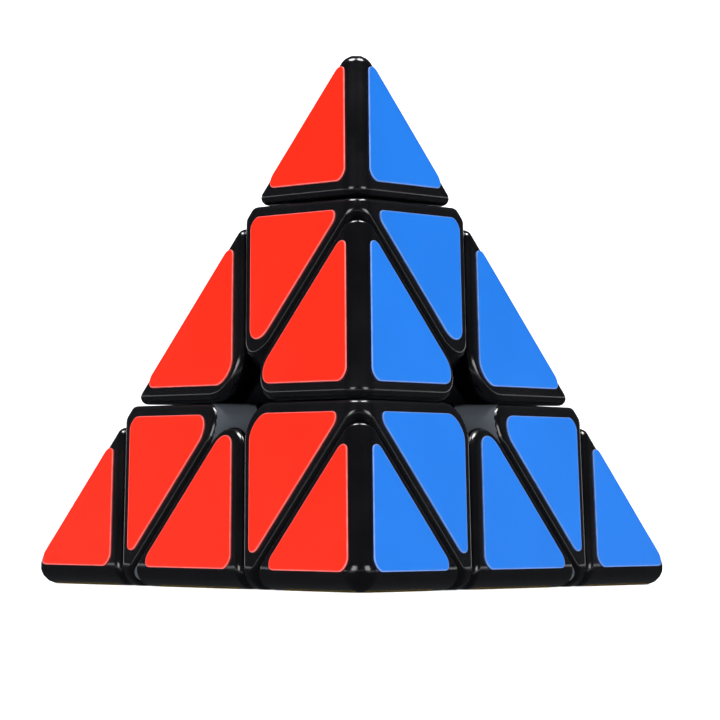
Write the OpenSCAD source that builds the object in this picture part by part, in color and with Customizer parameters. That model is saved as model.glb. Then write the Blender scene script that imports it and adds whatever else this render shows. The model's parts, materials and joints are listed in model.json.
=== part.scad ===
// Pyramid twisty puzzle: a tetrahedron cut into four tips, four axial pieces and six edge pieces.
// Each corner layer turns about the axis through its corner, and each tip turns on its own post.
// Millimetres. The origin is the centre of the core, where the four turning axes meet. +Z runs
// through the top tip, the front corner points to -Y and the puzzle rests on its bottom face.

/* [Puzzle] */
// Edge of the ideal sharp tetrahedron that the pieces are cut from
edge_length = 105; // [102:1:108]
// Height of each layer cut above the opposite face, as a share of the whole height
layer_cut_share = 0.3215; // [0.319:0.0005:0.327]
// Height of each tip cut above the opposite face, as a share of the whole height
tip_cut_share = 0.674; // [0.67:0.002:0.68]
// Gap between neighbouring pieces
piece_gap = 0.2; // [0.15:0.05:0.4]
// Radius that the outer edges and the tips are eased to
outer_round = 2.75; // [2:0.05:3.2]
// Radius of the ridge of an edge piece, beside the face centre
edge_ridge_round = 6.2; // [4:0.1:6.6]
// Radius of the ridge of an axial piece, beside the face centre
axial_ridge_round = 4.8; // [3:0.1:6]
// Wall of the hollow axial and edge pieces
wall = 2; // [1.5:0.1:2.4]

/* [Stickers] */
// Thickness of a sticker
sticker_thickness = 0.2; // [0.1:0.05:0.3]
// Distance of an axial sticker from the middle of a cut
axial_margin = 1.9; // [1.7:0.1:2.5]
// Distance of a tip or edge sticker from the middle of a cut
cut_margin = 2.8; // [2.4:0.1:3.2]
// Distance of a sticker from the ideal sharp edge of the puzzle
outer_margin = 3.1; // [2.9:0.1:4.2]
// Corner radius of a sticker at the outer edges and on the tips
sticker_round = 1.5; // [0.8:0.1:2]
// Corner radius of an axial sticker at the face centre
axial_sticker_round = 3; // [1:0.1:3.4]
// Corner radius of an edge sticker at the face centre
edge_sticker_round = 2.9; // [1.5:0.1:4]

/* [Mechanism] */
// Radius of the ball that the six edge feet form round the core
foot_ball_r = 16; // [15.5:0.1:16.2]
// Running clearance between the foot ball and the pieces round it
foot_clearance = 0.35; // [0.25:0.05:0.4]
// Distance from the centre of the planes between neighbouring feet
foot_cut = 2.2; // [2.1:0.05:2.3]
// Radius of the core's ball
core_r = 7; // [6:0.5:7.5]
// Radius of each arm of the core
arm_r = 4.2; // [3.6:0.1:4.3]
// Distance from the centre to the end of each arm
arm_end = 9.3; // [9:0.1:9.3]
// Radius of an axial piece's hub, which turns on the screw
hub_r = 5.2; // [4.8:0.1:5.2]
// Radius of the chamber for the spring and the screw head
chamber_r = 4; // [3.8:0.1:4]
// Radius of the screw's shank
screw_r = 1.5; // [1.4:0.05:1.6]
// Radius of the screw's head
screw_head_r = 3.2; // [3:0.1:3.4]
// Radius of the spring's wire
spring_wire_r = 0.35; // [0.3:0.05:0.4]
// Turns of each spring
spring_turns = 4; // [3:1:5]
// Radius of the post that a tip turns on
post_r = 3; // [2.6:0.1:3]
// Radial running clearance of the post and of the screw
running_gap = 0.06; // [0.03:0.01:0.1]

/* [Hidden] */
$fn = 64;
span = 3 * edge_length;

// Angles of a regular tetrahedron: between two corner axes, from a corner axis to the middle of an
// edge beside it, and from a corner axis to the normal of a face beside it
axis_angle = acos(-1 / 3);
edge_angle = axis_angle / 2;
face_angle = 180 - axis_angle;

whole_height = edge_length * sqrt(2 / 3);
face_depth = whole_height / 4;
tip_depth = 3 * face_depth;
edge_depth = edge_length / sqrt(8);
layer_plane = layer_cut_share * whole_height - face_depth;
tip_plane = tip_cut_share * whole_height - face_depth;
half_gap = piece_gap / 2;

// How far the rounded edges, tips and ridges reach. An edge between two faces and a ridge between
// two cuts have the same dihedral angle, so one rule gives both.
edge_reach = edge_depth - outer_round * (1 / sin(face_angle / 2) - 1);
tip_reach = tip_depth - 2 * outer_round;
ridge_depth = layer_plane / cos(edge_angle);
edge_ridge_depth = ridge_depth + edge_ridge_round * (1 / sin(face_angle / 2) - 1);
axial_ridge_depth = ridge_depth - axial_ridge_round * (1 / sin(face_angle / 2) - 1);

// In a face, measured from its centre towards a corner: the layer cut, the tip cut and, the other
// way, the outer edge opposite that corner
layer_line = (layer_plane - face_depth / 3) / sin(axis_angle);
tip_line = (tip_plane - face_depth / 3) / sin(axis_angle);
outer_line = edge_length / sqrt(12);
arc_steps = 8;

// Mechanism, measured out from the centre along a corner axis
arm_root = 2;
arm_start = core_r - arm_root;
foot_start = arm_end;
neck_root = 1;
neck_rise = 2;
neck_start = foot_ball_r - neck_root;
neck_end = foot_ball_r + neck_rise;
neck_width = 14;
vent_r = 1.5;
hub_gap = 0.3;
hub_floor_thickness = 2.4;
hub_overlap = 3;
hub_start = arm_end + hub_gap;
hub_floor = hub_start + hub_floor_thickness;
hub_end = foot_ball_r + hub_overlap;
spring_length = 5.4;
spring_mean_r = 2.55;
spring_steps = 12;
spring_sides = 6;
spring_clearance = 0.05;
washer_start = hub_floor + spring_length + 2 * spring_clearance;
washer_thickness = 0.6;
washer_r = 3.6;
head_start = washer_start + washer_thickness;
head_height = 2.2;
slot_length = 3.8;
slot_width = 0.9;
slot_depth = 1.3;
screw_start = 3;
thread_depth = 0.2;
pilot_r = screw_r - thread_depth;
plug_length = 7;
plug_start = tip_plane - plug_length;
plug_press = 0.03;
post_length = 7;
post_bore_end = tip_plane + post_length;
snap_lip = 0.5;
snap_r = post_r + snap_lip;
snap_height = 1.6;
snap_clearance = 0.5;
snap_cavity_r = snap_r + snap_clearance;
snap_cavity_height = 3;
snap_lift = 0.3;
post_end = post_bore_end + snap_lift + snap_height;
post_slot = 1.2;
post_slot_base = 2;

black = [0.09, 0.085, 0.1];
grey = [0.35, 0.35, 0.37];
steel = [0.7, 0.7, 0.72];

// Corner 0 is the top, and the others go anticlockwise round it, seen from above
corner_names = ["top", "front", "right", "left"];
corner_ids = [0, 1, 2, 3];
edge_ends = [[0, 1], [0, 2], [0, 3], [1, 2], [2, 3], [3, 1]];
// The colour of the face opposite each corner
face_names = ["yellow", "green", "red", "blue"];
face_colours = [[0.98, 0.85, 0.1], [0.05, 0.62, 0.25], [0.99, 0.13, 0.06], [0.1, 0.45, 0.95]];

function corner_turn(c) = c == 0 ? [0, 0, -30] : [0, axis_angle, 120 * c - 210];
function corner_axis(c) = c == 0 ? [0, 0, 1]
    : [sin(axis_angle) * cos(120 * c - 210), sin(axis_angle) * sin(120 * c - 210), cos(axis_angle)];
function unit(v) = v / norm(v);

// Azimuth of corner other about the axis of corner c, in that corner's own frame
function neighbour_azimuth(c, other) = c == 0 ? 120 * other - 180
    : other == 0 ? 180 : (other == c % 3 + 1 ? 60 : -60);
neighbour_azimuths = [180, 60, -60];

function edge_name(e) = str("edge_", corner_names[edge_ends[e][0]], "_", corner_names[edge_ends[e][1]]);
// The edge between the two corners that are neither c nor other
function edge_across(c, other) =
    [for (e = [0:5]) if (len(search(c, edge_ends[e])) + len(search(other, edge_ends[e])) == 0) e][0];

function tip_sticker_name(c, f) = str("sticker_", face_names[f], "_tip_", corner_names[c]);
function axial_sticker_name(c, f) = str("sticker_", face_names[f], "_axial_", corner_names[c]);
function edge_sticker_name(c, f) = str("sticker_", face_names[f], "_", edge_name(edge_across(c, f)));

// Every pair of a corner and a face that it touches; a face goes by the corner opposite it
corner_faces = [for (c = corner_ids) for (f = corner_ids) if (f != c) [c, f]];

// Half of space beyond, or short of, the plane at a distance along the direction given by its angle
// from +Z and its azimuth
module beyond(angle, azimuth, distance)
    rotate([0, angle, azimuth]) translate([-span / 2, -span / 2, distance]) cube(span);

module short_of(angle, azimuth, distance)
    rotate([0, angle, azimuth]) translate([-span / 2, -span / 2, distance - span]) cube(span);

module tube(inner_r, outer_r, start, end)
    translate([0, 0, start]) difference() {
        cylinder(r = outer_r, h = end - start);
        translate([0, 0, -span / 2]) cylinder(r = inner_r, h = span);
    }

// Puts what is drawn about +Z on the axis of corner c
module at_corner(c) rotate(corner_turn(c)) children();

// Puts what is drawn about +Z on the middle of edge e, with +X along the edge
module at_edge(e) {
    from = corner_axis(edge_ends[e][0]);
    to = corner_axis(edge_ends[e][1]);
    x = unit(to - from);
    z = unit(to + from);
    y = cross(z, x);
    multmatrix([[x[0], y[0], z[0], 0], [x[1], y[1], z[1], 0], [x[2], y[2], z[2], 0]]) children();
}

// Puts what is drawn on the XY plane on face f, with corner c towards -X
module on_face(c, f)
    at_corner(c)
        rotate([0, 0, neighbour_azimuth(c, f) + 180])
            rotate([0, face_angle, 0])
                translate([0, 0, face_depth]) children();

// The tetrahedron beside a corner: its three faces and the eased edges between them, all moved in
module corner_faces_solid(inset)
    intersection() {
        intersection_for (azimuth = neighbour_azimuths) beyond(axis_angle, azimuth, inset - face_depth);
        intersection_for (azimuth = neighbour_azimuths) short_of(edge_angle, azimuth, edge_reach - inset);
    }

// An axial piece's outer block, with every surface moved in
module axial_block(inset)
    intersection() {
        corner_faces_solid(inset);
        beyond(0, 0, layer_plane + half_gap + inset);
        short_of(0, 0, tip_plane - half_gap - inset);
        intersection_for (azimuth = neighbour_azimuths)
            short_of(axis_angle, azimuth, layer_plane - half_gap - inset);
        intersection_for (azimuth = neighbour_azimuths)
            beyond(edge_angle, azimuth, inset - axial_ridge_depth);
    }

// An edge piece's outer block, with every surface moved in
module edge_block(inset)
    intersection() {
        for_both_ends() beyond(edge_angle, 0, layer_plane + half_gap + inset);
        intersection_for (azimuth = [-90, 90]) beyond(180 - edge_angle, azimuth, inset - face_depth);
        beyond(0, 0, edge_ridge_depth + inset);
        short_of(0, 0, edge_reach - inset);
    }

// Whatever lies in a child and in its mirror image at the other end of the edge
module for_both_ends()
    intersection_for (azimuth = [0, 180]) rotate([0, 0, azimuth]) children();

// The wedge inside the ball that belongs to an edge piece: past both of its own planes and short of
// the two others
module edge_wedge(own_plane)
    intersection() {
        for_both_ends() beyond(edge_angle, 0, own_plane + half_gap);
        intersection_for (azimuth = [-90, 90]) short_of(180 - edge_angle, azimuth, foot_cut - half_gap);
    }

module ball_shell(inner_r, outer_r)
    difference() {
        sphere(r = outer_r);
        sphere(r = inner_r);
    }

module core()
    color(grey) difference() {
        union() {
            sphere(r = core_r);
            for (c = corner_ids) at_corner(c)
                translate([0, 0, arm_start]) cylinder(r = arm_r, h = arm_end - arm_start);
        }
        for (c = corner_ids) at_corner(c)
            translate([0, 0, screw_start]) cylinder(r = pilot_r, h = arm_end);
    }

module axis_screw()
    difference() {
        union() {
            translate([0, 0, screw_start]) cylinder(r = screw_r, h = head_start - screw_start + head_height / 2);
            translate([0, 0, head_start]) cylinder(r = screw_head_r, h = head_height);
        }
        for (turn = [0, 90]) rotate([0, 0, turn])
            translate([-slot_length / 2, -slot_width / 2, head_start + head_height - slot_depth])
                cube([slot_length, slot_width, 2 * slot_depth]);
    }

module axis_screws() color(steel) for (c = corner_ids) at_corner(c) axis_screw();

// Points of the ring of the spring's wire at a step along its helix
function spring_ring(step) =
    let (
        turn = 360 * step / spring_steps,
        rise = (spring_length - 2 * spring_wire_r) * step / (spring_turns * spring_steps)
    )
    [for (side = [0:spring_sides - 1])
        let (
            angle = 360 * side / spring_sides,
            r = spring_mean_r + spring_wire_r * cos(angle)
        )
        [r * cos(turn), r * sin(turn), spring_wire_r + rise + spring_wire_r * sin(angle)]];

module axis_spring() {
    rings = spring_turns * spring_steps;
    points = [for (step = [0:rings]) each spring_ring(step)];
    sides = [for (ring = [0:rings - 1]) for (side = [0:spring_sides - 1])
        let (
            a = ring * spring_sides + side,
            b = ring * spring_sides + (side + 1) % spring_sides
        )
        [a, a + spring_sides, b + spring_sides, b]];
    start_cap = [[for (side = [0:spring_sides - 1]) side]];
    end_cap = [[for (side = [0:spring_sides - 1]) (rings + 1) * spring_sides - 1 - side]];
    translate([0, 0, hub_floor + spring_clearance]) polyhedron(points, concat(sides, start_cap, end_cap));
}

module axis_springs() color(steel) for (c = corner_ids) at_corner(c) axis_spring();

module axis_washers()
    color(steel) for (c = corner_ids) at_corner(c)
        tube(screw_r + running_gap, washer_r, washer_start, head_start);

// Hollow under its outer faces and open towards the foot ball, with a column round its chamber
module axial(c)
    color(black) at_corner(c) difference() {
        union() {
            difference() {
                axial_block(0);
                sphere(r = foot_ball_r + foot_clearance);
            }
            translate([0, 0, hub_start]) cylinder(r = hub_r, h = hub_end - hub_start);
        }
        difference() {
            axial_block(wall);
            cylinder(r = chamber_r + wall, h = span);
        }
        cylinder(r = screw_r + running_gap, h = span);
        translate([0, 0, hub_floor]) cylinder(r = chamber_r, h = span);
    }

// The post that a tip turns on: a plug pressed into the axial piece and a split snap head
module tip_post(c)
    color(grey) at_corner(c) difference() {
        union() {
            translate([0, 0, plug_start])
                cylinder(r = chamber_r + plug_press, h = tip_plane - half_gap - plug_start);
            translate([0, 0, plug_start]) cylinder(r = post_r, h = post_end - plug_start);
            translate([0, 0, post_end - snap_height]) cylinder(r = snap_r, h = snap_height);
        }
        translate([-span / 2, -post_slot / 2, tip_plane + post_slot_base]) cube([span, post_slot, span]);
    }

module tip(c)
    color(black) at_corner(c) difference() {
        intersection() {
            corner_faces_solid(0);
            beyond(0, 0, tip_plane + half_gap);
            short_of(0, 0, tip_reach);
        }
        cylinder(r = post_r + running_gap, h = post_bore_end);
        translate([0, 0, post_bore_end]) cylinder(r = snap_cavity_r, h = snap_cavity_height);
    }

// Hollow, with a foot inside the ball, a neck, and a vent through both into the hollow
module edge_piece(e)
    color(black) at_edge(e) difference() {
        union() {
            difference() {
                edge_block(0);
                sphere(r = foot_ball_r + foot_clearance);
            }
            intersection() {
                edge_wedge(layer_plane);
                ball_shell(neck_start, neck_end);
                translate([-span / 2, -neck_width / 2, 0]) cube([span, neck_width, span]);
            }
            intersection() {
                edge_wedge(foot_cut);
                ball_shell(foot_start, foot_ball_r);
            }
        }
        difference() {
            edge_block(wall);
            sphere(r = neck_end + wall);
        }
        cylinder(r = vent_r, h = neck_end + 2 * wall);
    }

// Outline of a sticker: three sides whose outward normals are 120 degrees apart, each at its own
// distance from the face centre, with first_round on the corner opposite the first side
module sticker_outline(first_azimuth, distances, first_round) {
    function normal(k) = [cos(first_azimuth + 120 * k), sin(first_azimuth + 120 * k)];
    function meeting(a, b, k) = (4 / 3) * ((a + b / 2) * normal(k + 1) + (b + a / 2) * normal(k + 2));
    polygon([for (k = [0:2])
        let (
            r = k == 0 ? first_round : sticker_round,
            centre = meeting(distances[(k + 1) % 3] - r, distances[(k + 2) % 3] - r, k)
        )
        for (step = [0:arc_steps])
            centre + r * [cos(first_azimuth + 120 * (k + 1 + step / arc_steps)),
                          sin(first_azimuth + 120 * (k + 1 + step / arc_steps))]]);
}

module tip_sticker(c, f)
    color(face_colours[f]) on_face(c, f) linear_extrude(sticker_thickness)
        sticker_outline(
            0,
            [-tip_line - cut_margin, outer_line - outer_margin, outer_line - outer_margin],
            sticker_round
        );

module axial_sticker(c, f)
    color(face_colours[f]) on_face(c, f) linear_extrude(sticker_thickness)
        sticker_outline(
            180,
            [tip_line - axial_margin, layer_line - axial_margin, layer_line - axial_margin],
            axial_sticker_round
        );

// The sticker of the edge piece on face f that lies opposite corner c
module edge_sticker(c, f)
    color(face_colours[f]) on_face(c, f) linear_extrude(sticker_thickness)
        sticker_outline(
            0,
            [outer_line - outer_margin, -layer_line - cut_margin, -layer_line - cut_margin],
            edge_sticker_round
        );

core();
axis_screws();
axis_springs();
axis_washers();
for (c = corner_ids) {
    axial(c);
    tip_post(c);
    tip(c);
}
for (e = [0:5])
    edge_piece(e);
for (p = corner_faces) {
    tip_sticker(p[0], p[1]);
    axial_sticker(p[0], p[1]);
    edge_sticker(p[0], p[1]);
}
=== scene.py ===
import json
from itertools import combinations
from math import acos, cos, pi, radians, sin, sqrt

import bmesh
import bpy
import numpy as np
from mathutils import Matrix, Vector

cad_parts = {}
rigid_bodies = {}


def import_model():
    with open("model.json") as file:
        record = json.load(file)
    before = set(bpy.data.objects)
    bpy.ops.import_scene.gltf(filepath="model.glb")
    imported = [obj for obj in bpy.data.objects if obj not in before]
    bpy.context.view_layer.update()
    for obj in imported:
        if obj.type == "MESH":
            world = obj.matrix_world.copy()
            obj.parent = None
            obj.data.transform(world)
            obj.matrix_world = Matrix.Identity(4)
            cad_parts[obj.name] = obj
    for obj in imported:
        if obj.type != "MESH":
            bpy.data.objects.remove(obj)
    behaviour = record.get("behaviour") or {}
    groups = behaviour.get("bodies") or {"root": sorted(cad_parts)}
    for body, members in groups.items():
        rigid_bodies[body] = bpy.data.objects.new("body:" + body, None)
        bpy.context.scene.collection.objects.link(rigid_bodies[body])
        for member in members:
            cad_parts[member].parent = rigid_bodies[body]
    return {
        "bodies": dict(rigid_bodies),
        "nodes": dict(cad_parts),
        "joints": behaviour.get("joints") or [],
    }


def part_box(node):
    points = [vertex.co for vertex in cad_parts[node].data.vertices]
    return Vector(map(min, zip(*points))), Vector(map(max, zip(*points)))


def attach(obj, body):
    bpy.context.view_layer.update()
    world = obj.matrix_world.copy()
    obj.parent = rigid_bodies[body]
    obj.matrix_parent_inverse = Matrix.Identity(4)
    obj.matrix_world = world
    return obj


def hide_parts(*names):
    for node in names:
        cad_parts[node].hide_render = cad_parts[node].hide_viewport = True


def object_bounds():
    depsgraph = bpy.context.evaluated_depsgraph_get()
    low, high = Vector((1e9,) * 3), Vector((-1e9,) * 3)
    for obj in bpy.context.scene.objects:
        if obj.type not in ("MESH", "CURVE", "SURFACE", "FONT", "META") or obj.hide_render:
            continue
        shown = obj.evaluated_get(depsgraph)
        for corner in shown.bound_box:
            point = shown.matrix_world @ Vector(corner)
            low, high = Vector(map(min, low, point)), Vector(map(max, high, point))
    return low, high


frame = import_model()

CAD_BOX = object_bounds()
MM = 0.001

# ---------------------------------------------------------------- driving dimensions, as in the CAD
CORNERS = ("top", "front", "right", "left")
OPPOSITE = {"yellow": "top", "green": "front", "red": "right", "blue": "left"}
AXIS = {
    j["name"].split("_")[0]: np.array(j["axis"], float)
    for j in frame["joints"]
    if j["name"].endswith("_layer_turn")
}
EDGES = [tuple(b.split("_")[1:]) for b in frame["bodies"] if b.startswith("edge_")]

AXIS_ANGLE = acos(-1 / 3)
HALF_ANGLE = AXIS_ANGLE / 2
FACE_DEPTH = -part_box("tip_front")[0].z
EDGE_LENGTH = 4 * FACE_DEPTH / sqrt(2 / 3)
LAYER_CUT = 0.3215  # heights of the cuts above the opposite face, as shares of the whole height
TIP_CUT = 0.674
LAYER_PLANE = LAYER_CUT * 4 * FACE_DEPTH - FACE_DEPTH
TIP_PLANE = TIP_CUT * 4 * FACE_DEPTH - FACE_DEPTH
HALF_GAP = 0.1 * MM

OUTER_ROUND = 2.75 * MM
RIM_ROUND = 1.15 * MM
EDGE_RIDGE_ROUND = 6.2 * MM
AXIAL_RIDGE_ROUND = 4.8 * MM

STICKER_THICKNESS = 0.2 * MM
AXIAL_MARGIN = 1.9 * MM
CUT_MARGIN = 2.8 * MM
OUTER_MARGIN = 3.1 * MM
STICKER_ROUND = 1.5 * MM
AXIAL_STICKER_ROUND = 3 * MM
EDGE_STICKER_ROUND = 2.9 * MM

FOOT_BALL = 16 * MM
FOOT_CLEARANCE = 0.35 * MM
FOOT_CUT = 2.2 * MM
FOOT_START = 9.3 * MM
HUB_START = 9.6 * MM
HUB_FLOOR = 12 * MM
HUB_END = 19 * MM
HUB_R = 5.2 * MM
CHAMBER_R = 4 * MM
SCREW_HOLE_R = 1.56 * MM
POST_BORE_R = 3.06 * MM
POST_BORE_END = TIP_PLANE + 7 * MM
SNAP_CAVITY_R = 4 * MM
SNAP_CAVITY_HEIGHT = 3 * MM
VENT_R = 1.5 * MM

OVERLAP = 1 * MM  # how far a cutting or joining mesh runs past the surface it meets


# ---------------------------------------------------------------- local frames
def unit(v):
    return v / np.linalg.norm(v)


def columns(x, z):
    """Rotation whose columns are x, z cross x, and z."""
    return np.stack([x, np.cross(z, x), z], axis=1)


def corner_frame(corner):
    """+Z out along the corner's axis, with another corner towards -X."""
    z = AXIS[corner]
    other = AXIS[next(c for c in CORNERS if c != corner)]
    return columns(-unit(other - z * (z @ other)), z)


def edge_frame(start, end):
    """+Z out through the middle of the edge, +X along it."""
    return columns(unit(AXIS[end] - AXIS[start]), unit(AXIS[end] + AXIS[start]))


def face_frame(corner, opposite):
    """+Z out of the face opposite one corner, -X towards another corner of that face."""
    z = -AXIS[opposite]
    return columns(-unit(AXIS[corner] - z * (z @ AXIS[corner])), z)


def direction(angle, azimuth):
    return np.array([sin(angle) * cos(azimuth), sin(angle) * sin(azimuth), cos(angle)])


NEIGHBOURS = [direction(AXIS_ANGLE, radians(a)) for a in (180, 60, -60)]
OWN_ENDS = [direction(HALF_ANGLE, a) for a in (0, pi)]
OTHER_ENDS = [direction(pi - HALF_ANGLE, a) for a in (pi / 2, -pi / 2)]
UP = np.array([0.0, 0.0, 1.0])


def finished(bm, name):
    """The mesh that has been built up in bm."""
    mesh = bpy.data.meshes.new(name)
    bm.to_mesh(mesh)
    bm.free()
    return mesh


# ---------------------------------------------------------------- convex solids with eased edges
ARC_STEPS = 10
CORNER_STEPS = 8
PARALLEL = 1e-5  # determinant below which three planes have no common point
ON_PLANE = 1e-8
POINT_DIGITS = 8
NORMAL_DIGITS = 7
WELD = 0.004 * MM
FLAT_ANGLE = radians(0.4)
REACH = 0.04  # share of the rim's radius within which a corner still carries a point of its ball


def arc_normals(a, b, steps):
    """Unit vectors between a and b on their great circle, with their weights on a and b."""
    angle = acos(float(a @ b))
    found = []
    for k in range(1, steps):
        t = k / steps
        weights = (sin((1 - t) * angle) / sin(angle), sin(t * angle) / sin(angle))
        found.append((weights[0] * a + weights[1] * b, weights))
    return found


def cone_normals(three, steps):
    """Unit vectors over the spherical triangle between three unit vectors."""
    grid = [(i, j, steps - i - j) for i in range(steps + 1) for j in range(steps + 1 - i)]
    return [unit(np.array(w, float) @ np.array(three)) for w in grid]


def polytope_corners(planes):
    """Corners of the convex body where n.x <= d for every plane (n, d)."""
    normals = np.array([n for n, _ in planes])
    offsets = np.array([d for _, d in planes])
    triples = np.array(list(combinations(range(len(planes)), 3)))
    systems = normals[triples]
    solvable = np.abs(np.linalg.det(systems)) > PARALLEL
    points = np.linalg.solve(systems[solvable], offsets[triples[solvable]][..., None])[..., 0]
    inside = (points @ normals.T <= offsets + ON_PLANE).all(axis=1)
    return np.unique(np.round(points[inside], POINT_DIGITS), axis=0)


def hull_mesh(points, name):
    """Closed mesh round the points, with its flat areas as single faces."""
    bm = bmesh.new()
    for p in points:
        bm.verts.new(p)
    hull = bmesh.ops.convex_hull(bm, input=bm.verts, use_existing_faces=False)
    left_over = hull["geom_interior"] + hull["geom_unused"]
    spare = [v for v in left_over if isinstance(v, bmesh.types.BMVert)]
    bmesh.ops.delete(bm, geom=list(set(spare)), context="VERTS")
    bmesh.ops.remove_doubles(bm, verts=bm.verts, dist=WELD)
    bmesh.ops.dissolve_limit(bm, angle_limit=FLAT_ANGLE, verts=bm.verts, edges=bm.edges)
    bmesh.ops.recalc_face_normals(bm, faces=bm.faces)
    return finished(bm, name)


def ball_directions(normals, steps):
    """Directions of a faceted ball that has the given normals among its corners."""
    bm = bmesh.new()
    for n in normals:
        bm.verts.new(n)
    bmesh.ops.convex_hull(bm, input=bm.verts, use_existing_faces=False)
    bmesh.ops.triangulate(bm, faces=bm.faces)
    found = []
    for face in bm.faces:
        found += cone_normals([unit(np.array(v.co)) for v in face.verts], steps)
    bm.free()
    return np.unique(np.round(np.array(found), NORMAL_DIGITS), axis=0)


def eased_solid(name, planes, eased_pairs=(), eased_corner=None, rim=RIM_ROUND):
    """Convex body of the planes, with every edge eased to rim, the edges between the given pairs of
    planes eased to a radius of their own, and one corner of three planes eased to a ball."""
    shrunk = [(n, d - rim) for n, d in planes]
    for i, j, radius in eased_pairs:
        (a, da), (b, db) = planes[i], planes[j]
        for normal, (wa, wb) in arc_normals(a, b, ARC_STEPS):
            shrunk.append((normal, wa * (da - radius) + wb * (db - radius) + radius - rim))
    if eased_corner:
        ids, radius = eased_corner
        three = np.array([planes[i][0] for i in ids])
        centre = np.linalg.solve(three, np.array([planes[i][1] - radius for i in ids]))
        for normal in cone_normals(three, CORNER_STEPS):
            shrunk.append((normal, float(normal @ centre) + radius - rim))
    corners = polytope_corners(shrunk)
    ball = ball_directions([n for n, _ in planes], ARC_STEPS)
    support = corners @ ball.T
    reached = support >= support.max(axis=0) - REACH * rim
    where, which = np.nonzero(reached)
    return hull_mesh(corners[where] + rim * ball[which], name)


# ---------------------------------------------------------------- meshes that cut or join
def new_object(name, data):
    obj = bpy.data.objects.new(name, data)
    bpy.context.scene.collection.objects.link(obj)
    return obj


def cylinder(radius, start, end, segments=64):
    bm = bmesh.new()
    bmesh.ops.create_cone(
        bm, cap_ends=True, segments=segments, radius1=radius, radius2=radius, depth=end - start
    )
    bmesh.ops.translate(bm, vec=(0, 0, (start + end) / 2), verts=bm.verts)
    return finished(bm, "cylinder")


def sphere(radius):
    bm = bmesh.new()
    bmesh.ops.create_icosphere(bm, subdivisions=5, radius=radius)
    return finished(bm, "sphere")


def combine(mesh, other, operation):
    """The mesh after a boolean with another. Both meshes are used up."""
    target = new_object("combine_target", mesh)
    tool = new_object("combine_tool", other)
    modifier = target.modifiers.new("combine", "BOOLEAN")
    modifier.operation = operation
    modifier.solver = "EXACT"
    modifier.object = tool
    bpy.context.view_layer.update()
    depsgraph = bpy.context.evaluated_depsgraph_get()
    result = bpy.data.meshes.new_from_object(target.evaluated_get(depsgraph))
    for obj in (target, tool):
        used = obj.data
        bpy.data.objects.remove(obj)
        bpy.data.meshes.remove(used)
    return result


# ---------------------------------------------------------------- the three kinds of shell
def tip_mesh():
    planes = [(-UP, -(TIP_PLANE + HALF_GAP))] + [(-n, FACE_DEPTH) for n in NEIGHBOURS]
    pairs = [(i, j, OUTER_ROUND) for i, j in combinations((1, 2, 3), 2)]
    mesh = eased_solid("tip", planes, pairs, ((1, 2, 3), OUTER_ROUND))
    bore = cylinder(POST_BORE_R, TIP_PLANE - OVERLAP, POST_BORE_END + OVERLAP / 2)
    mesh = combine(mesh, bore, "DIFFERENCE")
    cavity = cylinder(SNAP_CAVITY_R, POST_BORE_END, POST_BORE_END + SNAP_CAVITY_HEIGHT)
    return combine(mesh, cavity, "DIFFERENCE")


def axial_mesh():
    planes = [(-UP, -(LAYER_PLANE + HALF_GAP)), (UP, TIP_PLANE - HALF_GAP)]
    planes += [(-n, FACE_DEPTH) for n in NEIGHBOURS]
    planes += [(n, LAYER_PLANE - HALF_GAP) for n in NEIGHBOURS]
    pairs = [(i, j, OUTER_ROUND) for i, j in combinations((2, 3, 4), 2)]
    pairs += [(i, j, AXIAL_RIDGE_ROUND) for i, j in combinations((5, 6, 7), 2)]
    mesh = eased_solid("axial", planes, pairs)
    mesh = combine(mesh, sphere(FOOT_BALL + FOOT_CLEARANCE), "DIFFERENCE")
    mesh = combine(mesh, cylinder(HUB_R, HUB_START, HUB_END), "UNION")
    mesh = combine(mesh, cylinder(CHAMBER_R, HUB_FLOOR, TIP_PLANE), "DIFFERENCE")
    screw_hole = cylinder(SCREW_HOLE_R, HUB_START - OVERLAP, HUB_FLOOR + OVERLAP)
    return combine(mesh, screw_hole, "DIFFERENCE")


CLEAR_OF_BALL = 1.2


def foot_wedge(name, own_plane, inner_r, outer_r):
    """The part of a ball shell that belongs to an edge piece, past its own planes and short of the
    two others."""
    planes = [(-n, -(own_plane + HALF_GAP)) for n in OWN_ENDS]
    planes += [(n, FOOT_CUT - HALF_GAP) for n in OTHER_ENDS]
    planes += [(UP, CLEAR_OF_BALL * outer_r)]
    block = hull_mesh(polytope_corners(planes), name)
    return combine(combine(block, sphere(outer_r), "INTERSECT"), sphere(inner_r), "DIFFERENCE")


def edge_mesh():
    planes = [(-n, -(LAYER_PLANE + HALF_GAP)) for n in OWN_ENDS]
    planes += [(-n, FACE_DEPTH) for n in OTHER_ENDS]
    pairs = [(0, 1, EDGE_RIDGE_ROUND), (2, 3, OUTER_ROUND)]
    mesh = eased_solid("edge", planes, pairs)
    mesh = combine(mesh, sphere(FOOT_BALL + FOOT_CLEARANCE), "DIFFERENCE")
    neck = foot_wedge("neck", LAYER_PLANE, FOOT_BALL - OVERLAP, FOOT_BALL + 2 * OVERLAP)
    foot = foot_wedge("foot", FOOT_CUT, FOOT_START, FOOT_BALL)
    mesh = combine(combine(mesh, neck, "UNION"), foot, "UNION")
    vent = cylinder(VENT_R, 0, FOOT_BALL + 4 * OVERLAP, segments=32)
    return combine(mesh, vent, "DIFFERENCE")


SHARP_CUT = radians(32)
BELOW_RIM = 1.05 * RIM_ROUND
BEHIND_OUTER_EDGE = 1.8 * OUTER_ROUND
FACES_TIP = 0.5  # least share of the corner's axis in the normal of a face under the tip


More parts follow.
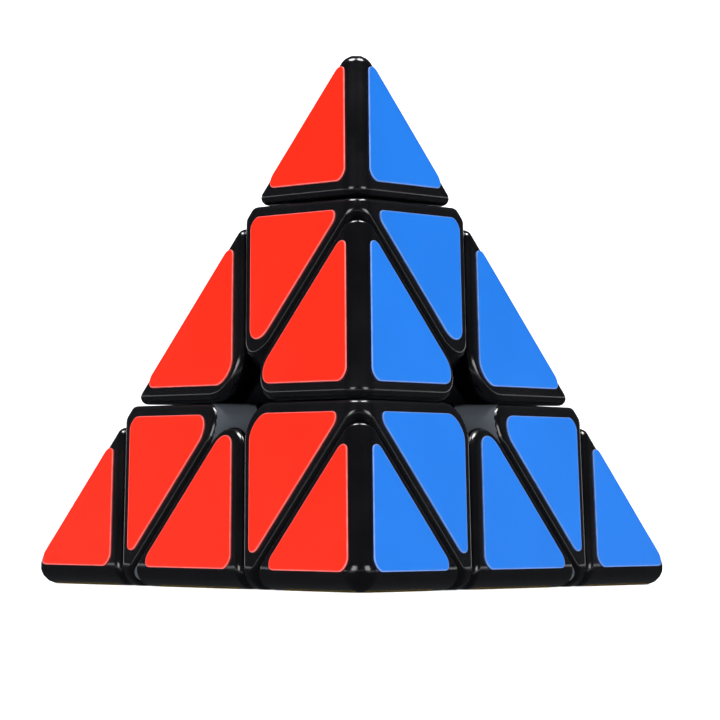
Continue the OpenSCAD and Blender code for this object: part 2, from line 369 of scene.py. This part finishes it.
def finish_mesh(mesh):
    """Smooth shading with sharp cut edges, and the second material on the surfaces deeper than the
    eased rims, apart from the eased outer edges and the cut under the tip."""
    mesh.shade_smooth()
    mesh.set_sharp_from_angle(angle=SHARP_CUT)
    for face in mesh.polygons:
        depths = sorted(FACE_DEPTH + n @ np.array(face.center) for n in NEIGHBOURS)
        inner = depths[0] > BELOW_RIM and depths[1] > BEHIND_OUTER_EDGE
        face.material_index = 1 if inner and face.normal.z < FACES_TIP else 0


FLAT_FACE_WEIGHT = 90


def place(name, mesh, rotation, offset, body, materials):
    """A copy of the mesh, turned and moved into place, that rides on a body."""
    placed = mesh.copy()
    placed.name = name
    matrix = Matrix(rotation.tolist()).to_4x4()
    placed.transform(matrix @ Matrix.Translation((0, 0, offset)))
    indices = [face.material_index for face in placed.polygons]
    placed.materials.clear()
    for material in materials:
        placed.materials.append(material)
    placed.polygons.foreach_set("material_index", indices)
    obj = new_object(name, placed)
    weighted = obj.modifiers.new("weighted_normals", "WEIGHTED_NORMAL")
    weighted.keep_sharp = True
    weighted.weight = FLAT_FACE_WEIGHT
    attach(obj, body)
    return obj


# ---------------------------------------------------------------- materials
def material(name):
    made = bpy.data.materials.new(name)
    made.use_nodes = True
    shader = made.node_tree.nodes["Principled BSDF"]
    return made, made.node_tree, shader


NOISE_ROUGHNESS = 0.55
NOISE_LOW, NOISE_HIGH = 0.3, 0.7  # the values of the noise that are spread over the whole range


def add_noise(tree, scale, detail):
    """Noise in the piece's own coordinates, so that it moves with the piece."""
    place_of = tree.nodes.new("ShaderNodeTexCoord")
    noise = tree.nodes.new("ShaderNodeTexNoise")
    noise.inputs["Scale"].default_value = scale
    noise.inputs["Detail"].default_value = detail
    noise.inputs["Roughness"].default_value = NOISE_ROUGHNESS
    tree.links.new(place_of.outputs["Object"], noise.inputs["Vector"])
    return noise


def add_roughness(tree, shader, noise, low, high):
    """Roughness between low and high, by the noise."""
    spread = tree.nodes.new("ShaderNodeMapRange")
    spread.inputs["From Min"].default_value = NOISE_LOW
    spread.inputs["From Max"].default_value = NOISE_HIGH
    spread.inputs["To Min"].default_value = low
    spread.inputs["To Max"].default_value = high
    tree.links.new(noise.outputs["Fac"], spread.inputs["Value"])
    tree.links.new(spread.outputs["Result"], shader.inputs["Roughness"])


def add_colour(tree, shader, noise, low, high):
    """Base colour between two colours, by the noise."""
    ramp = tree.nodes.new("ShaderNodeValToRGB")
    ends = ((NOISE_LOW, low), (NOISE_HIGH, high))
    for element, (position, colour) in zip(ramp.color_ramp.elements, ends):
        element.position = position
        element.color = (*colour, 1)
    tree.links.new(noise.outputs["Fac"], ramp.inputs["Fac"])
    tree.links.new(ramp.outputs["Color"], shader.inputs["Base Color"])


def add_bump(tree, shader, noise, strength, distance):
    bump = tree.nodes.new("ShaderNodeBump")
    bump.inputs["Strength"].default_value = strength
    bump.inputs["Distance"].default_value = distance
    tree.links.new(noise.outputs["Fac"], bump.inputs["Height"])
    tree.links.new(bump.outputs["Normal"], shader.inputs["Normal"])


def black_plastic():
    """Polished moulded plastic, with faint flow marks and handling haze."""
    made, tree, shader = material("black_plastic")
    haze = add_noise(tree, scale=90, detail=5)
    grain = add_noise(tree, scale=1400, detail=2)
    add_colour(tree, shader, haze, low=(0.0011, 0.0011, 0.0019), high=(0.0020, 0.0019, 0.0031))
    add_roughness(tree, shader, haze, low=0.13, high=0.24)
    add_bump(tree, shader, grain, strength=0.05, distance=0.02 * MM)
    shader.inputs["IOR"].default_value = 1.5
    return made


def matte_plastic():
    """The same plastic where the mould is left textured, on the faces that the pieces hide. Only
    the three lower axials get it; the top axial's same walls stay polished black as painted shade.
    """
    made, tree, shader = material("matte_plastic")
    cloud = add_noise(tree, scale=120, detail=4)
    grain = add_noise(tree, scale=2200, detail=3)
    add_colour(tree, shader, cloud, low=(0.074, 0.086, 0.102), high=(0.086, 0.099, 0.117))
    add_roughness(tree, shader, cloud, low=0.6, high=0.72)
    add_bump(tree, shader, grain, strength=0.2, distance=0.02 * MM)
    shader.inputs["Specular IOR Level"].default_value = 0.2
    return made


def vinyl(name, base, dark, light):
    """Cut vinyl film: satin, with a fine leathery grain and a slight print variation."""
    made, tree, shader = material(name)
    print_noise = add_noise(tree, scale=60, detail=3)
    grain = add_noise(tree, scale=2600, detail=2)
    low = tuple(c * dark for c in base)
    high = tuple(min(1.0, c * light) for c in base)
    add_colour(tree, shader, print_noise, low, high)
    add_roughness(tree, shader, print_noise, low=0.42, high=0.5)
    add_bump(tree, shader, grain, strength=0.12, distance=0.01 * MM)
    shader.inputs["Specular IOR Level"].default_value = 0.22
    return made


# Share of the film's own colour in its cut edge, and the white that is added to it
EDGE_DARK = (0.82, 0.09)
EDGE_LIGHT = (0.8, 0.17)


def vinyl_edge(name, base):
    """The die-cut edge of the film, where the paler body of the vinyl shows."""
    made, tree, shader = material(name)
    noise = add_noise(tree, scale=700, detail=3)
    low, high = (tuple(share * c + white for c in base) for share, white in (EDGE_DARK, EDGE_LIGHT))
    add_colour(tree, shader, noise, low, high)
    add_roughness(tree, shader, noise, low=0.45, high=0.6)
    return made


def grey_plastic():
    """Plain moulded plastic of the core and the posts."""
    made, tree, shader = material("grey_plastic")
    grain = add_noise(tree, scale=900, detail=4)
    add_colour(tree, shader, grain, low=(0.16, 0.16, 0.17), high=(0.22, 0.22, 0.235))
    add_roughness(tree, shader, grain, low=0.4, high=0.55)
    add_bump(tree, shader, grain, strength=0.15, distance=0.03 * MM)
    return made


def zinc_steel():
    """Zinc-plated steel of the screws, springs and washers."""
    made, tree, shader = material("zinc_steel")
    grain = add_noise(tree, scale=1100, detail=5)
    add_colour(tree, shader, grain, low=(0.5, 0.5, 0.52), high=(0.68, 0.68, 0.7))
    add_roughness(tree, shader, grain, low=0.25, high=0.42)
    add_bump(tree, shader, grain, strength=0.1, distance=0.02 * MM)
    shader.inputs["Metallic"].default_value = 1.0
    return made


BLACK = black_plastic()
POLISHED = [BLACK, BLACK]
PART_MATTE = [BLACK, matte_plastic()]
GREY = grey_plastic()
STEEL = zinc_steel()
VINYL_COLOURS = {
    "red": (0.97, 0.0155, 0.001),
    "blue": (0.008, 0.165, 0.665),
    "green": (0.008, 0.33, 0.06),
    "yellow": (0.95, 0.62, 0.008),
}
VINYL = {
    colour: (vinyl(f"{colour}_vinyl", base, 0.97, 1.03), vinyl_edge(f"{colour}_vinyl_edge", base))
    for colour, base in VINYL_COLOURS.items()
}


# ---------------------------------------------------------------- shells in place
def shells():
    shapes = {"tip": tip_mesh(), "axial": axial_mesh(), "edge": edge_mesh()}
    for mesh in shapes.values():
        finish_mesh(mesh)
    for corner in CORNERS:
        turn = corner_frame(corner)
        # The top axial's hidden walls take the polished black instead of the grey matte of the
        # other three axials: painted shade on the same moulded walls.
        axial_finish_shade_painted_on_top = POLISHED if corner == "top" else PART_MATTE
        for kind, body, finish in (
            ("tip", f"tip_{corner}", POLISHED),
            ("axial", f"layer_{corner}", axial_finish_shade_painted_on_top),
        ):
            shell = place(
                f"{kind}_shell_{corner}", shapes[kind], turn, 0, body, finish
            )
            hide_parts(f"{kind}_{corner}")
    for start, end in EDGES:
        node = f"edge_{start}_{end}"
        turn = edge_frame(start, end)
        shell = place(f"{node}_shell", shapes["edge"], turn, 0, node, POLISHED)
        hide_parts(node)


# ---------------------------------------------------------------- stickers
STICKER_ARC_STEPS = 12
STICKER_EASE = 0.05 * MM
STICKER_EASE_STEP = 0.3 * STICKER_EASE
STICKER_RIM = 0.12 * MM
SHARP_FILM = radians(50)

# Distances of the cuts and of the outer edges from the middle of a face, within the face
LAYER_LINE = (LAYER_PLANE - FACE_DEPTH / 3) / sin(AXIS_ANGLE)
TIP_LINE = (TIP_PLANE - FACE_DEPTH / 3) / sin(AXIS_ANGLE)
OUTER_LINE = EDGE_LENGTH / sqrt(12)


def sticker_outline(first_azimuth, distances, first_round, inset):
    """Triangle whose sides lie at the distances from the face centre, 120 degrees apart, with eased
    corners. The inset moves the whole outline in."""
    points = []
    for k in range(3):
        radius = first_round if k == 0 else STICKER_ROUND
        side = [first_azimuth + radians(120 * (k + step)) for step in (1, 2)]
        a, b = (distances[(k + step) % 3] - radius for step in (1, 2))
        normals = [np.array([cos(s), sin(s)]) for s in side]
        centre = (4 / 3) * ((a + b / 2) * normals[0] + (b + a / 2) * normals[1])
        for step in range(STICKER_ARC_STEPS + 1):
            angle = side[0] + radians(120) * step / STICKER_ARC_STEPS
            points.append(centre + (radius - inset) * np.array([cos(angle), sin(angle)]))
    return points


def sticker_mesh(name, first_azimuth, distances, first_round):
    """Film with an eased cut edge and a paler rim, as rings of points from below to the top."""
    rings = [
        (0.0, 0.0),
        (0.0, STICKER_THICKNESS - STICKER_EASE),
        (STICKER_EASE_STEP, STICKER_THICKNESS - STICKER_EASE_STEP),
        (STICKER_EASE, STICKER_THICKNESS),
        (STICKER_RIM, STICKER_THICKNESS),
    ]
    bm = bmesh.new()
    loops = []
    for inset, z in rings:
        outline = sticker_outline(first_azimuth, distances, first_round, inset)
        loops.append([bm.verts.new((*p, z)) for p in outline])
    for lower, upper in zip(loops, loops[1:]):
        for k in range(len(lower)):
            n = (k + 1) % len(lower)
            bm.faces.new((lower[k], lower[n], upper[n], upper[k])).material_index = 1
    bm.faces.new(loops[-1]).material_index = 0
    bm.faces.new(loops[0][::-1]).material_index = 1
    mesh = finished(bm, name)
    mesh.shade_smooth()
    mesh.set_sharp_from_angle(angle=SHARP_FILM)
    return mesh


def stickers():
    outer = OUTER_LINE - OUTER_MARGIN
    past_tip, past_layer = -TIP_LINE - CUT_MARGIN, -LAYER_LINE - CUT_MARGIN
    under_tip, in_layer = TIP_LINE - AXIAL_MARGIN, LAYER_LINE - AXIAL_MARGIN
    tip = [past_tip, outer, outer]
    axial = [under_tip, in_layer, in_layer]
    edge = [outer, past_layer, past_layer]
    shapes = {
        "tip": sticker_mesh("tip_film", 0, tip, STICKER_ROUND),
        "axial": sticker_mesh("axial_film", pi, axial, AXIAL_STICKER_ROUND),
        "edge": sticker_mesh("edge_film", 0, edge, EDGE_STICKER_ROUND),
    }
    for colour, opposite in OPPOSITE.items():
        for corner in (c for c in CORNERS if c != opposite):
            start, end = next(e for e in EDGES if corner not in e and opposite not in e)
            homes = {
                "tip": (f"tip_{corner}", f"tip_{corner}"),
                "axial": (f"axial_{corner}", f"layer_{corner}"),
                "edge": (f"edge_{start}_{end}", f"edge_{start}_{end}"),
            }
            for kind, (piece, body) in homes.items():
                film = place(
                    f"{colour}_film_{piece}",
                    shapes[kind],
                    face_frame(corner, opposite),
                    FACE_DEPTH,
                    body,
                    VINYL[colour],
                )
                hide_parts(f"sticker_{colour}_{piece}")


# ---------------------------------------------------------------- mechanism, as the CAD has it
def mechanism():
    for name, node in frame["nodes"].items():
        finish = None
        if name == "core" or name.startswith("tip_post"):
            finish = GREY
        elif name.startswith("axis_"):
            finish = STEEL
        if finish:
            node.data.materials.clear()
            node.data.materials.append(finish)


shells()
stickers()
mechanism()


# ---------------------------------------------------------------- stage, light and camera
# The soft paper takes up the base stickers, so that the plastic seems to stand on it
FLOOR_Z = CAD_BOX[0][2] + 0.95 * STICKER_THICKNESS
NEAR_R = 0.85
SWEEP_R = 1.6
SWEEP_TOP = 0.26
MIRRORED_FROM = 0.16
SWEEP_BEND = 0.08
SWEEP_BEND_STEPS = 12
SWEEP_SEGMENTS = 96
PAPER = (0.92, 0.92, 0.92)
NEAR_GLOW = 0.55
FAR_GLOW = 0.85

# The right-hand soft box of each pair: where it hangs, its size, and its power
FRONT_BOX = ((0.62, -0.62, 0.42), (0.44, 0.44), 4.3)
HIGH_BOX = ((0.2, 0.22, 0.8), (0.15, 0.3), 3.6)
SKY_COLOUR = (0.9, 0.95, 1.0, 1)
SKY_STRENGTH = 0.065

CAMERA_AT = (-12.284 * MM, -768.57 * MM, -8.54 * MM)
CAMERA_YAW, CAMERA_PITCH, CAMERA_ROLL = -0.0169, 0.0277, -0.0026  # radians
LENS = 254.5
SENSOR = 36
NEAREST_SEEN = 0.01


def paper(name, glow):
    """Matte white paper that glows a little, so that it stays white all round the object."""
    made, tree, shader = material(name)
    grain = add_noise(tree, scale=300, detail=3)
    add_roughness(tree, shader, grain, low=0.85, high=0.95)
    shader.inputs["Base Color"].default_value = (*PAPER, 1)
    shader.inputs["Specular IOR Level"].default_value = 0.0
    shader.inputs["Emission Color"].default_value = (1, 1, 1, 1)
    shader.inputs["Emission Strength"].default_value = glow
    return made


def paper_ring(name, profile, glow, mirrored):
    """A sheet of paper turned round the Z axis, from its (radius, height) profile."""
    around = [2 * pi * k / SWEEP_SEGMENTS for k in range(SWEEP_SEGMENTS)]
    bm = bmesh.new()
    rings = [[bm.verts.new((r * cos(a), r * sin(a), z)) for a in around] for r, z in profile]
    for low, high in zip(rings, rings[1:]):
        for k in range(SWEEP_SEGMENTS):
            n = (k + 1) % SWEEP_SEGMENTS
            bm.faces.new((low[k], low[n], high[n], high[k]))
    bmesh.ops.remove_doubles(bm, verts=bm.verts, dist=WELD)
    bmesh.ops.recalc_face_normals(bm, faces=bm.faces)
    mesh = finished(bm, name)
    mesh.shade_smooth()
    mesh.materials.append(paper(name, glow))
    ring = new_object(name, mesh)
    ring.visible_glossy = mirrored


def sweep():
    """A round floor and a low curved wall. Only the top of the wall is mirrored in the plastic."""
    flat_r = SWEEP_R - SWEEP_BEND
    wall = [(flat_r, FLOOR_Z)]
    for k in range(1, SWEEP_BEND_STEPS + 1):
        angle = pi / 2 * k / SWEEP_BEND_STEPS
        rise = SWEEP_BEND - SWEEP_BEND * cos(angle)
        wall.append((flat_r + SWEEP_BEND * sin(angle), FLOOR_Z + rise))
    wall.append((SWEEP_R, MIRRORED_FROM))
    paper_ring("near_paper", [(0, FLOOR_Z), (NEAR_R, FLOOR_Z)], NEAR_GLOW, False)
    paper_ring("far_paper", [(NEAR_R, FLOOR_Z), (flat_r, FLOOR_Z)], FAR_GLOW, False)
    paper_ring("wall_paper", wall, FAR_GLOW, False)
    paper_ring("mirrored_paper", [(SWEEP_R, MIRRORED_FROM), (SWEEP_R, SWEEP_TOP)], FAR_GLOW, True)


def soft_box(name, side, box):
    """A soft box that faces the object, on the right (side 1) or mirrored to the left (side -1)."""
    (x, y, z), size, power = box
    light = bpy.data.lights.new(name, "AREA")
    light.shape = "RECTANGLE"
    light.size, light.size_y = size
    light.energy = power
    obj = new_object(name, light)
    obj.location = (side * x, y, z)
    obj.rotation_euler = Vector((side * x, y, z)).to_track_quat("Z", "Y").to_euler()


def camera():
    """The viewpoint: just above the surface, straight at the front corner's edge."""
    data = bpy.data.cameras.new("camera")
    data.sensor_width = SENSOR
    data.lens = LENS
    data.clip_start = NEAREST_SEEN
    obj = new_object("camera", data)
    turn = Matrix.Rotation(CAMERA_YAW, 3, "Z") @ Matrix.Rotation(CAMERA_PITCH, 3, "X")
    turn = turn @ Matrix.Rotation(CAMERA_ROLL, 3, "Y")
    along_y = Matrix(((1, 0, 0), (0, 0, -1), (0, 1, 0)))
    obj.matrix_world = Matrix.Translation(CAMERA_AT) @ (turn @ along_y).to_4x4()
    bpy.context.scene.camera = obj


def world():
    made = bpy.data.worlds.new("studio")
    made.use_nodes = True
    back = made.node_tree.nodes["Background"]
    back.inputs["Color"].default_value = SKY_COLOUR
    back.inputs["Strength"].default_value = SKY_STRENGTH
    bpy.context.scene.world = made


sweep()
for side in (-1, 1):
    soft_box(f"front_box_{side}", side, FRONT_BOX)
    soft_box(f"high_box_{side}", side, HIGH_BOX)
camera()
world()
bpy.context.scene.view_settings.view_transform = "Standard"
bpy.context.scene.view_settings.look = "None"
